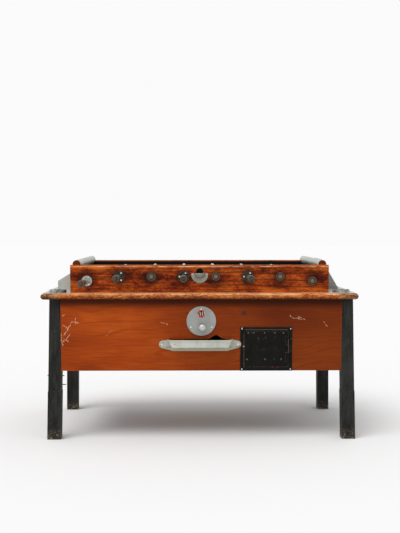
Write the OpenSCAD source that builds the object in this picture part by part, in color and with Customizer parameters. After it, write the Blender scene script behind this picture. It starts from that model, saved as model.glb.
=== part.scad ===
// Coin-operated table football table, eight telescopic rods.
// Millimetres. Origin on the floor under the middle of the table,
// +X to the right of the front player, +Y to the rear, +Z up.

/* [Table] */
// Width of the playing field between the long rails
field_w = 700; // [620:10:840]
// Height of the table slab's upper face
slab_top = 688; // [600:1:820]
// Thickness of the table slab
slab_t = 29; // [24:1:36]
// How far the slab stands out past the rail ends
slab_end = 131; // [120:1:160]
// How far the slab stands out past the rail faces
slab_side = 60; // [45:1:80]
// Height of the long rails above the slab
rail_h = 129; // [125:1:150]
// Thickness of the long rails
rail_t = 35; // [30:1:45]
// Thickness of the short end walls
wall_t = 39; // [32:1:46]
// Depth of the apron panels under the slab
apron_h = 334; // [300:1:400]
// Thickness of the apron panels
apron_t = 18; // [15:1:22]

/* [Rods] */
// Distance between neighbouring rods
rod_pitch = 150; // [145:1:180]
// Height of the field rods above the slab
rod_up = 75; // [70:1:80]
// Height of the two goalkeeper rods above the slab
goal_rod_up = 55; // [54:1:58]
// Distance from a goalkeeper rod to the end wall
goal_rod_in = 28; // [22:1:34]
// Radius of the sliding outer tube
tube_r = 8; // [7.5:0.5:9]
// Radius of the fixed inner rod
rod_r = 5; // [4.5:0.5:5.5]
// Radial running clearance of rods in tubes and bushes
run_gap = 0.05; // [0.03:0.01:0.1]
// Length of a handle
handle_l = 115; // [100:1:125]
// Radius of a handle at its thickest
handle_r = 17; // [14:0.5:18]

/* [Goals] */
// Width of a goal mouth
goal_w = 220; // [214:1:280]
// Height of a goal mouth above the slab
goal_h = 104; // [102:1:108]

/* [Legs] */
// Side of a leg's square section
leg_w = 60; // [54:1:70]
// Splay of the front legs, in degrees
front_splay = 1.5; // [0:0.1:2]
// Splay of the rear legs, in degrees
rear_splay = 1; // [0:0.1:2]

/* [Front fittings] */
// Diameter of the coin plate
coin_plate_d = 137; // [120:1:150]
// Travel of the push knob
knob_travel = 18; // [12:1:18]
// Width of the cash door frame
door_w = 243; // [230:1:260]
// Height of the cash door frame
door_h = 205; // [190:1:220]
// Length of the ball tray over its ears
tray_l = 382; // [370:1:390]
// Diameter of an ashtray
ashtray_d = 80; // [70:1:84]

/* [Hidden] */
$fn = 48;
// Long and short extents of the upper works
field_l = 7 * rod_pitch + 2 * goal_rod_in;
rail_over = 10;
rail_l = field_l + 2 * wall_t + 2 * rail_over;
rail_in = field_w / 2;
rail_out = rail_in + rail_t;
slab_x = rail_l / 2 + slab_end;
slab_y = rail_out + slab_side;
slab_bottom = slab_top - slab_t;
field_t = 3;
field_top = slab_top + field_t;
rail_top = slab_top + rail_h;
sheet_t = 1;
hood_t = 2;
// End walls, their round cap bars and the goals
wall_in = field_l / 2;
wall_out = wall_in + wall_t;
cap_r = 18.5;
cap_z = rail_top + 3;
cap_flat = 14;
// The cap bars end behind the rounded top edge of the rails
nose = 12;
cap_y = rail_out - nose;
wall_top = cap_z - cap_flat;
// Aprons stand under the slab
apron_x = rail_l / 2 + 52;
apron_y = rail_out + 29;
apron_in_y = apron_y - apron_t;
apron_in_x = apron_x - apron_t;
apron_bottom = slab_bottom - apron_h;
// The apron box and the front legs sit a little to the right under the slab
base_dx = 8;
// Legs stand past the apron's ends and a little inside its face
leg_out = 52;
leg_back = 9;
shoe_t = 1.5;
shoe_h = 228;
// Rods, numbered from the left; 1 is on the front side, -1 on the rear side
rod_side = [1, 1, -1, 1, -1, 1, -1, -1];
rod_men = [1, 2, 3, 5, 5, 3, 2, 1];
rod_reach = [275, 240, 265, 240, 240, 265, 240, 275];
rod_travel = [90, 105, 120, 90, 90, 120, 105, 90];
men_pitch = [0, 230, 205, 118, 118, 205, 230, 0];
collar_t = 6;
man_w = 24;
bush_r = 27.5;
bush_t = 5;
barrel_r = 15;
flange_t = 4;
// Places of the front fittings, from the slab's underside down
plate_x = 7;
plate_z = slab_bottom - 101;
slot_z = plate_z + 34;
knob_x = 12;
knob_z = plate_z - 30;
knob_r = 17;
shaft_r = 5;
plate_t = 5;
// Ball tray: middle of its ears, rim above and trough below that
tray_x = 1;
tray_z = slab_bottom - 210;
tray_t = 4;
tray_rim = 24;
tray_drop = 13;
tray_depth = 50;
trough_w = 150;
tray_open = 25;
// Round-topped notch in the upper edge of the tray opening
notch_l = 38;
notch_w = 75;
notch_h = 18;
door_x = 310;
door_z = slab_bottom - 232;
strip_w = 18;
strip_t = 3;
lock_x = door_x - door_w / 2 + 36;
hinge_x = door_x + door_w / 2 - strip_w;
hinge_y = -apron_y - 7.5;
// Ball cup on the front rail and the hole above it
cup_z = slab_top + 90;
cup_r = 39;
ball_hole_r = 16.5;
ball_hole_z = slab_top + 97;
panel_lock_x = 205;
panel_lock_z = slab_bottom - 64;
// Ball chute under the slab
chute_l = -60;
chute_r = 110;
chute_wall = 10;
chute_floor = tray_z;
gate_y = -apron_in_y + 66;
gate_z = knob_z - 24;

// Place of rod number i, from 1 to 8
function rod_x(i) = (i - 4.5) * rod_pitch;
function rod_z(i) = slab_top + (i == 1 || i == 8 ? goal_rod_up : rod_up);
function side(i) = rod_side[i - 1];
// The own side of a rod is at -Y for side 1, so this mirrors the rear-handled rods
module own_side(i) {
  translate([rod_x(i), 0, rod_z(i)]) mirror([0, side(i) == 1 ? 0 : 1, 0]) children();
}

// Box from one corner to the opposite one
module block(a, b) {
  translate(a) cube(b - a);
}

// Cylinder along Y from y0 to y1, centred on x and z
module bar_y(x, z, y0, y1, r) {
  translate([x, y0, z]) rotate([-90, 0, 0]) cylinder(r = r, h = y1 - y0);
}

// Prism of a Y-Z outline, from x0 to x1
module prism_x(x0, x1, outline) {
  translate([x0, 0, 0]) rotate([90, 0, 90]) linear_extrude(x1 - x0) polygon(outline);
}

// Prism of an X-Z outline, from y0 to y1
module prism_y(y0, y1, outline) {
  translate([0, y1, 0]) rotate([90, 0, 0]) linear_extrude(y1 - y0) polygon(outline);
}

// Slab with a half-round nosing on all four edges, mitred at the corners
module table_slab() {
  color("peru")
  difference() {
    intersection() {
      rotate([90, 0, 90]) linear_extrude(2 * slab_x, center = true) nosing(slab_y);
      rotate([90, 0, 0]) linear_extrude(2 * slab_y, center = true) nosing(slab_x);
    }
    for (s = [-1, 1]) drop_slot(s);
  }
}

// Cross-section of the slab from -half to half
module nosing(half) {
  r = slab_t / 2;
  translate([-half + r, slab_bottom]) square([2 * (half - r), slab_t]);
  for (s = [-1, 1]) translate([s * (half - r), slab_bottom + r]) circle(r = r);
}

// Slot behind a goal through which the ball falls to the ramp
module drop_slot(s) {
  x0 = wall_out + 2;
  translate([s * (x0 + 20), 0, slab_bottom]) cube([40, goal_w - 20, 3 * slab_t], center = true);
}

module playfield() {
  color("darkseagreen")
  block([-wall_in, -rail_in, slab_top], [wall_in, rail_in, field_top]);
}

// Long rail with a rounded top, a hole at each rod and, in front, the ball hole
module rail(front) {
  s = front ? -1 : 1;
  translate([0, s * (rail_in + rail_t / 2), 0])
  difference() {
    union() {
      block([-rail_l / 2, -rail_t / 2, slab_top], [rail_l / 2, rail_t / 2, rail_top - nose]);
      block([-rail_l / 2, -rail_t / 2 + nose, slab_top],
            [rail_l / 2, rail_t / 2 - nose, rail_top]);
      for (t = [-1, 1])
        translate([-rail_l / 2, t * (rail_t / 2 - nose), rail_top - nose])
          rotate([0, 90, 0]) cylinder(r = nose, h = rail_l);
    }
    for (i = [1:8])
      bar_y(rod_x(i), rod_z(i), -rail_t, rail_t, own_at(i, s) ? barrel_r : barrel_r - 4);
    if (front) bar_y(0, ball_hole_z, -rail_t, rail_t, ball_hole_r);
    // saddles for the cap bars, open towards the field
    for (t = [-1, 1])
      mirror([0, s > 0 ? 1 : 0, 0])
        bar_y(t * (wall_in + wall_t / 2), cap_z, nose - rail_t / 2 - 0.1, rail_t, cap_r + sheet_t + 0.1);
  }
}

// True where rod i has its handle on side s
function own_at(i, s) = side(i) == -s;

module front_rail() {
  color("saddlebrown") rail(true);
}

module rear_rail() {
  color("saddlebrown") rail(false);
}

// End walls with the goal mouths, each under a round cap bar
module end_walls() {
  color("saddlebrown")
  for (s = [-1, 1]) mirror([s == 1 ? 0 : 1, 0, 0]) {
    difference() {
      block([wall_in, -rail_in, slab_top], [wall_out, rail_in, wall_top]);
      block([wall_in - 1, -goal_w / 2, slab_top - 1],
            [wall_out + 1, goal_w / 2, slab_top + goal_h]);
    }
    difference() {
      bar_y(wall_in + wall_t / 2, cap_z, -cap_y, cap_y, cap_r);
      block([wall_in - 5, -rail_in - 0.1, cap_z - 2 * cap_r],
            [wall_out + 5, rail_in + 0.1, wall_top + 0.1]);
    }
  }
}

// Sheet pocket behind each goal: a sloping roof between two cheeks
module hood(outline) {
  cheek = goal_w / 2 + 10;
  difference() {
    prism_y(-cheek, cheek, outline);
    // the hollow, one sheet thickness inside and open below
    prism_y(-cheek + hood_t, cheek - hood_t,
      [for (p = outline) p - [hood_t, p[1] > slab_top + 5 ? hood_t : 3]]);
    bar_y(wall_in + wall_t / 2, cap_z, -cheek - 1, cheek + 1, cap_r + sheet_t + 0.2);
  }
}

module goal_hoods() {
  base = slab_top + sheet_t;
  color("gainsboro") {
    hood([[wall_out, base], [wall_out + 98, base], [wall_out + 12, cap_z + 15], [wall_out, cap_z + 15]]);
    mirror([1, 0, 0])
      hood([[wall_out, base], [wall_out + 102, base], [wall_out + 101, slab_top + 42],
            [wall_out + 49, slab_top + 74], [wall_out, slab_top + 105]]);
  }
}

// Thin sheets on the slab's ends and round the cap bars
module end_sheets() {
  edge = slab_x - 11;
  color("lightgray")
  for (s = [-1, 1]) mirror([s == 1 ? 0 : 1, 0, 0]) {
    difference() {
      block([wall_out, -slab_y + 11, slab_top], [edge, slab_y - 11, slab_top + sheet_t]);
      for (t = [-1, 1])
        block([wall_out - 1, t > 0 ? rail_in : -rail_out, slab_top - 1],
              [rail_l / 2, t > 0 ? rail_out : -rail_in, slab_top + 2]);
      for (t = [-1, 1])
        block([wall_out - 1, t > 0 ? rail_out - 1 : -slab_y, slab_top - 1],
              [rail_l / 2, t > 0 ? slab_y : -rail_out + 1, slab_top + 2]);
      drop_slot(1);
    }
    difference() {
      bar_y(wall_in + wall_t / 2, cap_z, -cap_y, cap_y, cap_r + sheet_t);
      bar_y(wall_in + wall_t / 2, cap_z, -rail_out - 1, rail_out + 1, cap_r + run_gap);
      block([wall_in - 5, -rail_out - 1, cap_z - 2 * cap_r], [wall_out + 5, rail_out + 1, wall_top]);
    }
  }
}

// Outline of the tray opening with a round-topped notch in its upper edge
function notch(x) = notch_h * (1 - cos(360 * (x - notch_l) / notch_w)) / 2;
function tray_opening() = concat(
  [[-150, tray_z - 16], [-150, tray_z + tray_open]],
  [for (x = [notch_l:notch_w / 10:notch_l + notch_w]) [x, tray_z + tray_open + notch(x)]],
  [[140, tray_z + tray_open], [140, tray_z - 16]]
);

// Front panel with openings for the coin works, the tray and the cash door
module front_apron() {
  color("chocolate")
  difference() {
    block([base_dx - apron_x, -apron_y, apron_bottom], [base_dx + apron_x, -apron_in_y, slab_bottom]);
    prism_y(-apron_y - 1, -apron_in_y + 1, tray_opening());
    bar_y(plate_x, slot_z, -apron_y - 1, -apron_in_y + 1, 15);
    bar_y(knob_x, knob_z, -apron_y - 1, -apron_in_y + 1, shaft_r + 3);
    bar_y(panel_lock_x, panel_lock_z, -apron_y - 1, -apron_in_y + 1, 5.5);
    door_cutout(-apron_y - 1, -apron_in_y + 1);
  }
}

// Opening behind the cash door, narrower than the door on all sides
module door_cutout(y0, y1) {
  w = door_w - 2 * strip_w - 16;
  h = door_h - 2 * strip_w - 16;
  block([door_x - w / 2, y0, door_z - h / 2], [door_x + w / 2, y1, door_z + h / 2]);
}

module rear_apron() {
  color("chocolate")
  block([base_dx - apron_x, apron_in_y, apron_bottom], [base_dx + apron_x, apron_y, slab_bottom]);
}

module end_aprons() {
  color("chocolate")
  translate([base_dx, 0, 0]) for (s = [-1, 1]) mirror([s == 1 ? 0 : 1, 0, 0])
    block([apron_in_x, -apron_in_y, apron_bottom], [apron_x, apron_in_y, slab_bottom]);
}

// Boards that roll the ball from both ends into a chute to the tray
module ball_ramp() {
  half = goal_w / 2 - 5;
  lip = 20;
  top = slab_bottom - 99;
  high = slab_bottom - 50;
  step = chute_floor + 74;
  color("burlywood") {
    ramp_board(base_dx - apron_in_x, chute_l, high, top, half, lip);
    ramp_board(base_dx + apron_in_x, chute_r, high, top, half, lip);
    for (x = [chute_l - chute_wall, chute_r])
      difference() {
        prism_x(x, x + chute_wall, [
          [-apron_in_y, chute_floor - 14], [-apron_in_y, step],
          [-apron_in_y + 20, step], [-apron_in_y + 20, top],
          [apron_in_y, top], [apron_in_y, chute_floor + 30]]);
        translate([x - 1, gate_y, gate_z]) rotate([0, 90, 0])
          cylinder(r = 3 + run_gap, h = chute_wall + 2);
      }
    // the chute's sloping floor, from the rear down to the tray
    prism_x(chute_l, chute_r, [
      [-apron_in_y, chute_floor - 14], [-apron_in_y, chute_floor - 6],
      [apron_in_y, chute_floor + 38], [apron_in_y, chute_floor + 30]]);
  }
}

// One sloping board with a lip on each side, from x0, z0 down to x1, z1
module ramp_board(x0, x1, z0, z1, half, lip) {
  t = 8;
  prism_y(-half, half, [[x0, z0 - t], [x1, z1], [x1, z1 + t], [x0, z0]]);
  for (s = [-1, 1])
    prism_y(s > 0 ? half - 8 : -half, s > 0 ? half : -half + 8,
      [[x0, z0], [x1, z1 + t], [x1, z1 + t + lip], [x0, z0 + lip]]);
}

// Endless splayed bar of a leg in the corner s, t, grown on its four sides
module leg_bar(s, t, splay, grow) {
  run = slab_bottom * tan(splay);
  translate([t < 0 ? base_dx : 0, 0, 0])
  mirror([s > 0 ? 0 : 1, 0, 0]) mirror([0, t > 0 ? 0 : 1, 0])
    translate([apron_x + leg_out + run - leg_w, apron_y - leg_back + run - leg_w, 0])
      rotate([splay, -splay, 0])
        translate([-grow, -grow, -40])
          cube([leg_w + 2 * grow, leg_w + 2 * grow, slab_bottom + 80]);
}

// Leg cut level at the floor and the slab, rebated for the apron panels
module leg(s, t, splay) {
  difference() {
    intersection() {
      leg_bar(s, t, splay, 0);
      block([-slab_x, -slab_y, 0], [slab_x, slab_y, slab_bottom]);
    }
    translate([base_dx, 0, 0]) {
      for (v = [-1, 1])
        block([-apron_x, v > 0 ? apron_in_y : -apron_y, apron_bottom],
              [apron_x, v > 0 ? apron_y : -apron_in_y, slab_top]);
      for (u = [-1, 1])
        block([u > 0 ? apron_in_x : -apron_x, -apron_y, apron_bottom],
              [u > 0 ? apron_x : -apron_in_x, apron_y, slab_top]);
    }
  }
}

// Sleeve round the foot of a front leg
module leg_shoe(s) {
  difference() {
    intersection() {
      leg_bar(s, -1, front_splay, shoe_t);
      block([-slab_x - 20, -slab_y - 20, 0], [slab_x + 20, slab_y + 20, shoe_h]);
    }
    leg_bar(s, -1, front_splay, 0);
  }
}

module front_legs() {
  color("black") for (s = [-1, 1]) leg(s, -1, front_splay);
  color("dimgray") for (s = [-1, 1]) leg_shoe(s);
}

module rear_legs() {
  color("black") for (s = [-1, 1]) leg(s, 1, rear_splay);
}

// Round cover of the coin works, with holes for the slot, the knob and three screws
module coin_plate() {
  color("silver")
  difference() {
    bar_y(plate_x, plate_z, -apron_y - plate_t, -apron_y, coin_plate_d / 2);
    bar_y(plate_x, slot_z, -apron_y - plate_t - 1, -apron_y + 1, 17.5);
    bar_y(knob_x, knob_z, -apron_y - plate_t - 1, -apron_y + 1, shaft_r + run_gap);
  }
}

// Red cup round the coin slot, set into the plate and the apron
module coin_slot_ring() {
  front = -apron_y - plate_t - 2;
  color("firebrick")
  difference() {
    union() {
      bar_y(plate_x, slot_z, front, -apron_y, 17.4);
      bar_y(plate_x, slot_z, -apron_y, -apron_in_y, 14.9);
    }
    // dished mouth, then the slot itself
    bar_y(plate_x, slot_z, front - 1, -apron_y + 4, 14);
    block([plate_x - 3, front, slot_z - 12], [plate_x + 3, -apron_in_y + 1, slot_z + 12]);
  }
}

// Sheet chute that carries the coins from the slot to the cash box
module coin_chute() {
  x1 = door_x - 40;
  z1 = door_z + 60;
  w = 3;
  y0 = -apron_in_y;
  color("lightsteelblue")
  difference() {
    for (y = [y0, y0 + 14]) prism_y(y, y + 2, chute_outline(x1, z1));
    bar_y(plate_x, slot_z, y0 - 1, y0 + 8, 14);
  }
  color("lightsteelblue")
  prism_y(y0 + 2, y0 + 14, [
    [plate_x - 12, slot_z - 16 - w], [x1, z1 - w], [x1, z1], [plate_x - 12, slot_z - 16]]);
}
function chute_outline(x1, z1) = [
  [plate_x - 12, slot_z - 19], [x1, z1 - 3], [x1, z1 + 30], [plate_x + 20, slot_z + 16],
  [plate_x - 12, slot_z + 16]];

// Push knob with its shaft through plate and apron
module coin_knob() {
  back = -apron_y - plate_t - knob_travel - 3;
  dome_r = 20;
  dome_t = 11;
  color("silver") {
    intersection() {
      translate([knob_x, back - dome_t + dome_r, knob_z]) sphere(r = dome_r);
      bar_y(knob_x, knob_z, back - dome_t, back, knob_r);
    }
    bar_y(knob_x, knob_z, back - 1, gate_y - 6, shaft_r);
  }
}

// Flap on an axle that holds the balls back until the knob is pushed
module ball_gate() {
  color("darkgray") {
    translate([chute_l - 6, gate_y, gate_z]) rotate([0, 90, 0])
      cylinder(r = 3, h = chute_r - chute_l + 12);
    block([chute_l + 3, gate_y - 2, chute_floor + 8], [chute_r - 3, gate_y + 2, gate_z]);
    block([knob_x - 8, gate_y - 3, gate_z], [knob_x + 8, gate_y + 3, gate_z + 32]);
  }
}

// Rounded outline of the tray's trough, seen from above, grown by grow
module trough_plan(grow) {
  w = trough_w + grow;
  d = tray_depth + grow;
  r = 24;
  translate([tray_x, 0, 0]) {
    translate([-w + r, -apron_y - d]) square([2 * (w - r), d - tray_t + 1]);
    translate([-w, -apron_y - d + r]) square([2 * w, d - r - tray_t + 1]);
    for (s = [-1, 1]) translate([s * (w - r), -apron_y - d + r]) circle(r = r);
  }
}

// Trough body from z0 up to z1, its ends leaning in towards the bottom
module trough(z0, z1, grow) {
  lean = 20;
  w = trough_w + grow;
  intersection() {
    translate([0, 0, z0]) linear_extrude(z1 - z0) trough_plan(grow);
    prism_y(-apron_y - tray_depth - 9, -apron_y + 9, [
      [tray_x - w + lean, tray_z - tray_drop], [tray_x + w - lean, tray_z - tray_drop],
      [tray_x + w, tray_z + tray_rim], [tray_x + w, tray_z + tray_rim + 9],
      [tray_x - w, tray_z + tray_rim + 9], [tray_x - w, tray_z + tray_rim]]);
  }
}

// Cast ball tray: a boat-shaped back plate with round ears and an open trough in front
module ball_tray() {
  y0 = -apron_y - tray_t;
  ear = 18;
  ear_x = tray_l / 2 - ear;
  plate_top = 21;
  plate_low = 31;
  rim = tray_z + tray_rim;
  color("lightgray")
  difference() {
    union() {
      prism_y(y0, -apron_y, [for (p = [
        [-ear_x, ear], [-148, plate_top], [148, plate_top], [ear_x, ear],
        [ear_x, -ear], [125, -plate_low], [-125, -plate_low], [-ear_x, -ear]])
        [tray_x + p[0], tray_z + p[1]]]);
      for (s = [-1, 1]) bar_y(tray_x + s * ear_x, tray_z, y0, -apron_y, ear);
      trough(tray_z - tray_drop, rim, 0);
      // bead round the rim
      trough(rim - 5, rim, 3);
    }
    trough(tray_z - tray_drop + 4, rim + 1, -4);
    // mouth through the back plate
    block([tray_x - 138, y0 - 1, tray_z - tray_drop + 4], [tray_x + 135, -apron_y + 1, rim + 9]);
  }
}

// Half-moon plate under the ball hole with a hollow half-dome that holds the ball
module ball_cup() {
  back = -rail_out;
  dome_r = 29;
  dome_in = 9;
  cup_low = 6;
  color("lightgray")
  difference() {
    intersection() {
      union() {
        bar_y(0, cup_z - cup_low, back - 3, back, cup_r);
        difference() {
          translate([0, back + dome_in, cup_z]) sphere(r = dome_r);
          translate([0, back + dome_in, cup_z]) sphere(r = dome_r - 3);
        }
      }
      block([-60, back - 40, cup_z - 60], [60, back, cup_z]);
    }
    intersection() {
      translate([0, back + dome_in, cup_z]) sphere(r = dome_r - 3);
      block([-40, back - 40, cup_z - 40], [40, back - 1, cup_z + 1]);
    }
  }
}

// Strips round the cash door, with the fixed knuckle and the pin of its hinge
module door_frame() {
  x0 = door_x - door_w / 2;
  z0 = door_z - door_h / 2;
  color("black") {
    difference() {
      block([x0, -apron_y - strip_t, z0], [x0 + door_w, -apron_y, z0 + door_h]);
      block([x0 + strip_w, -apron_y - strip_t - 1, z0 + strip_w],
            [x0 + door_w - strip_w, -apron_y + 1, z0 + door_h - strip_w]);
      // room for the ball tray's ear
      bar_y(tray_x + tray_l / 2 - 18, tray_z, -apron_y - strip_t - 1, -apron_y + 1, 20);
    }
    difference() {
      union() {
        translate([hinge_x, hinge_y, door_z - 15]) cylinder(r = 4, h = 30);
        block([hinge_x, hinge_y + 1, door_z - 15], [hinge_x + 12, -apron_y - strip_t, door_z + 15]);
      }
      translate([hinge_x, hinge_y, door_z - 16]) cylinder(r = 2, h = 32);
    }
    translate([hinge_x, hinge_y, door_z - 62]) cylinder(r = 2, h = 124);
  }
}

// Door plate with its two knuckles and the hole for the lock
module cash_door() {
  gap = 0.5;
  face = -apron_y - strip_t - 0.2;
  w = door_w - 2 * strip_w - 2 * gap;
  h = door_h - 2 * strip_w - 2 * gap;
  door_rivets(face);
  color("black")
  difference() {
    union() {
      block([door_x - w / 2, face, door_z - h / 2], [door_x + w / 2, -apron_y - 0.2, door_z + h / 2]);
      for (s = [-1, 1]) mirror([0, 0, s > 0 ? 0 : 1]) translate([0, 0, s * door_z]) {
        translate([hinge_x, hinge_y, 15.3]) cylinder(r = 4, h = 45);
        block([hinge_x - 14, hinge_y + 1, 15.3], [hinge_x, face + 1, 60.3]);
      }
    }
    translate([hinge_x, hinge_y, door_z - 70]) cylinder(r = 2 + run_gap, h = 140);
    bar_y(lock_x, door_z + 10, face - 1, -apron_y + 1, 7 + run_gap);
  }
}

// Flat rivets along the top and bottom of the door plate, spread over its width
module door_rivets(plate_face) {
  face = plate_face - 0.05;
  reach = door_w / 2 - strip_w;
  rivet_r = 4;
  rivet_t = 1.5;
  high = door_z + door_h / 2 - 27;
  low = door_z - door_h / 2 + 54;
  color("dimgray") {
    for (f = [-0.81, -0.56, -0.08, 0.38, 0.77])
      bar_y(door_x + f * reach, high, face - rivet_t, face, rivet_r);
    for (f = [-0.87, -0.04, 0.68])
      bar_y(door_x + f * reach, low, face - rivet_t, face, rivet_r);
  }
}

// Turning lock of the cash door; its cam points up when unlocked
module door_lock() {
  face = -apron_y - strip_t - 0.4;
  color("gray") {
    difference() {
      bar_y(lock_x, door_z + 10, face - 5, face, 10);
      block([lock_x - 1, face - 6, door_z + 5], [lock_x + 1, face - 2, door_z + 15]);
    }
    bar_y(lock_x, door_z + 10, face - 1, -apron_in_y + 3, 7);
    block([lock_x - 4, -apron_in_y + 0.5, door_z + 10], [lock_x + 4, -apron_in_y + 3.5, door_z + 34]);
  }
}

// Small turning lock in the front apron
module apron_lock() {
  color("gray") {
    difference() {
      bar_y(panel_lock_x, panel_lock_z, -apron_y - 3, -apron_y - 0.2, 8);
      block([panel_lock_x - 1, -apron_y - 4, panel_lock_z - 5],
            [panel_lock_x + 1, -apron_y - 1.5, panel_lock_z + 5]);
    }
    bar_y(panel_lock_x, panel_lock_z, -apron_y - 1, -apron_in_y + 3, 5.5 - run_gap);
    block([panel_lock_x - 4, -apron_in_y + 0.5, panel_lock_z],
          [panel_lock_x + 4, -apron_in_y + 3.5, panel_lock_z + 20]);
  }
}

// Sliding bush of a rod, on its handle side
module slide_bush(i) {
  own_side(i) difference() {
    union() {
      bar_y(0, 0, -rail_out - bush_t, -rail_out, i == 1 ? 24.5 : bush_r);
      bar_y(0, 0, -rail_out - bush_t - 3, -rail_out, 12);
      bar_y(0, 0, -rail_out, -rail_in, barrel_r - 0.1);
    }
    bar_y(0, 0, -rail_out - bush_t - 4, -rail_in + 1, tube_r + run_gap);
  }
}

// Blind socket that carries the end of a rod's inner rod, on the far side
module pivot_bush(i) {
  own_side(i) difference() {
    union() {
      bar_y(0, 0, rail_out, rail_out + flange_t, i == 3 || i == 6 ? 24 : 20.5);
      bar_y(0, 0, rail_out, rail_out + flange_t + 3, 10);
      bar_y(0, 0, rail_in, rail_out, barrel_r - 4.1);
    }
    bar_y(0, 0, rail_in - 1, rail_out + flange_t - 1.5, rod_r + run_gap);
  }
}

module rod_bushes() {
  color("dimgray") for (i = [1:8]) {
    slide_bush(i);
    pivot_bush(i);
  }
}

// Round slotted screw head that stands y mm in front of the face
module screw_y(x, z, face, r) {
  h = r / 2;
  translate([x, face, z]) rotate([90, 0, 0]) difference() {
    cylinder(r = r, h = h);
    translate([-r, -0.5, h * 0.6]) cube([2 * r, 1, h]);
  }
}

module screws() {
  color("silver") {
    for (i = [1:8]) own_side(i)
      for (a = [60, 180, 300])
        screw_y(19 * cos(a), 19 * sin(a), -rail_out - bush_t, 4);
    for (a = [90, 210, 330])
      screw_y(plate_x + (coin_plate_d / 2 - 12) * cos(a), plate_z + (coin_plate_d / 2 - 12) * sin(a),
        -apron_y - plate_t, 4);
    for (s = [-1, 1]) {
      screw_y(s * (cup_r - 6), cup_z - 6, -rail_out - 3, 2.5);
      screw_y(tray_x + s * (tray_l / 2 - 14), tray_z, -apron_y - tray_t, 5);
      // nails of the door frame
      for (t = [-1, 1])
        screw_y(door_x + s * (door_w / 2 - 8), door_z + t * (door_h / 2 - 8), -apron_y - strip_t, 3);
    }
  }
}

// Round dishes for the players' cigarettes, four notches in each rim
module ashtrays() {
  r = ashtray_d / 2;
  h = 14;
  color("gray")
  for (s = [-1, 1]) for (t = [-1, 1])
    translate([s * (rail_l / 2 + 58), t * rail_out, slab_top + sheet_t])
      difference() {
        cylinder(r = r, h = h);
        translate([0, 0, 4]) cylinder(r = r - 5, h = h);
        for (a = [45, 135])
          translate([0, 0, h + 1]) rotate([0, 90, a]) cylinder(r = 5, h = 3 * r, center = true);
      }
}

// Open box that the coins fall into, on a shelf fixed to the apron
module cash_box() {
  x0 = door_x - 88;
  z0 = door_z - door_h / 2 + 28;
  y0 = -apron_in_y + 6;
  color("olivedrab")
  difference() {
    block([x0, y0, z0], [x0 + 176, y0 + 130, z0 + 90]);
    block([x0 + 2, y0 + 2, z0 + 2], [x0 + 174, y0 + 128, z0 + 91]);
  }
  color("burlywood")
  block([x0 - 12, -apron_in_y, z0 - 12], [x0 + 188, y0 + 140, z0 - 0.1]);
}

// Fixed bar that a rod's tube slides on, with a collar at the far rail
module inner_rod(i) {
  color("silver") own_side(i) {
    bar_y(0, 0, -rail_in + 50, rail_out + flange_t - 1.8, rod_r);
    bar_y(0, 0, rail_in - 2 - collar_t, rail_in - 2, rod_r + 2);
  }
}

// Sliding tube, closed by a small button behind the handle
module tube(i) {
  end = -rail_out - rod_reach[i - 1];
  inner = rail_in - rod_travel[i - 1] - 12;
  color("silver") own_side(i) {
    difference() {
      bar_y(0, 0, end + 2, inner, tube_r);
      bar_y(0, 0, end + 20, inner + 1, rod_r + run_gap);
    }
    bar_y(0, 0, end, end + 4, tube_r - 2);
  }
}

// Wooden handle, thickest in the middle of its grip
module handle(i) {
  end = -rail_out - rod_reach[i - 1] + 4;
  l = handle_l;
  r = handle_r;
  color("saddlebrown") own_side(i)
    translate([0, end, 0]) rotate([-90, 0, 0]) rotate_extrude()
      polygon([[tube_r + 0.02, 0], [r - 3, 0], [r - 0.5, 5], [r, 0.2 * l], [r, 0.45 * l],
        [r - 3, 0.8 * l], [r - 3.5, 0.95 * l], [r - 5, l], [tube_r + 0.02, l]]);
}

// Cast player hung from the tube, with foot length leg, facing +X
module man(leg) {
  w = man_w / 2;
  difference() {
    union() {
      prism_y(-w + 2, w - 2, [[-7, -leg], [12, -leg], [12, -leg + 7], [5, -leg + 12],
        [7, -18], [9, -8], [-9, -8], [-8, -20], [-5, -leg + 14]]);
      prism_y(-w, w, [[-10, -11], [10, -11], [11, 12], [6, 27], [-6, 27], [-11, 12]]);
      translate([0, 0, 34]) sphere(r = 10);
    }
    bar_y(0, 0, -w - 1, w + 1, tube_r + 0.02);
  }
}

// All the players of one rod
module figures(i) {
  n = rod_men[i - 1];
  leg = rod_z(i) - field_top - (i == 1 || i == 8 ? 4 : 5);
  color(side(i) == 1 ? "firebrick" : "royalblue") own_side(i)
    mirror([side(i) == 1 ? 0 : 1, 0, 0])
      for (k = [0:n - 1])
        translate([0, (k - (n - 1) / 2) * men_pitch[i - 1], 0]) man(leg);
}

table_slab();
playfield();
front_rail();
rear_rail();
end_walls();
goal_hoods();
end_sheets();
front_apron();
rear_apron();
end_aprons();
ball_ramp();
front_legs();
rear_legs();
coin_plate();
coin_slot_ring();
coin_chute();
coin_knob();
ball_gate();
ball_tray();
ball_cup();
door_frame();
cash_door();
door_lock();
apron_lock();
rod_bushes();
screws();
ashtrays();
cash_box();
inner_rod(1);  // inner_rod_1
tube(1);  // tube_1
figures(1);  // figures_1
handle(1);  // handle_1
inner_rod(2);  // inner_rod_2
tube(2);  // tube_2
figures(2);  // figures_2
handle(2);  // handle_2
inner_rod(3);  // inner_rod_3
tube(3);  // tube_3
figures(3);  // figures_3
handle(3);  // handle_3
inner_rod(4);  // inner_rod_4
tube(4);  // tube_4
figures(4);  // figures_4
handle(4);  // handle_4
inner_rod(5);  // inner_rod_5
tube(5);  // tube_5
figures(5);  // figures_5
handle(5);  // handle_5
inner_rod(6);  // inner_rod_6
tube(6);  // tube_6
figures(6);  // figures_6
handle(6);  // handle_6
inner_rod(7);  // inner_rod_7
tube(7);  // tube_7
figures(7);  // figures_7
handle(7);  // handle_7
inner_rod(8);  // inner_rod_8
tube(8);  // tube_8
figures(8);  // figures_8
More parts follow.
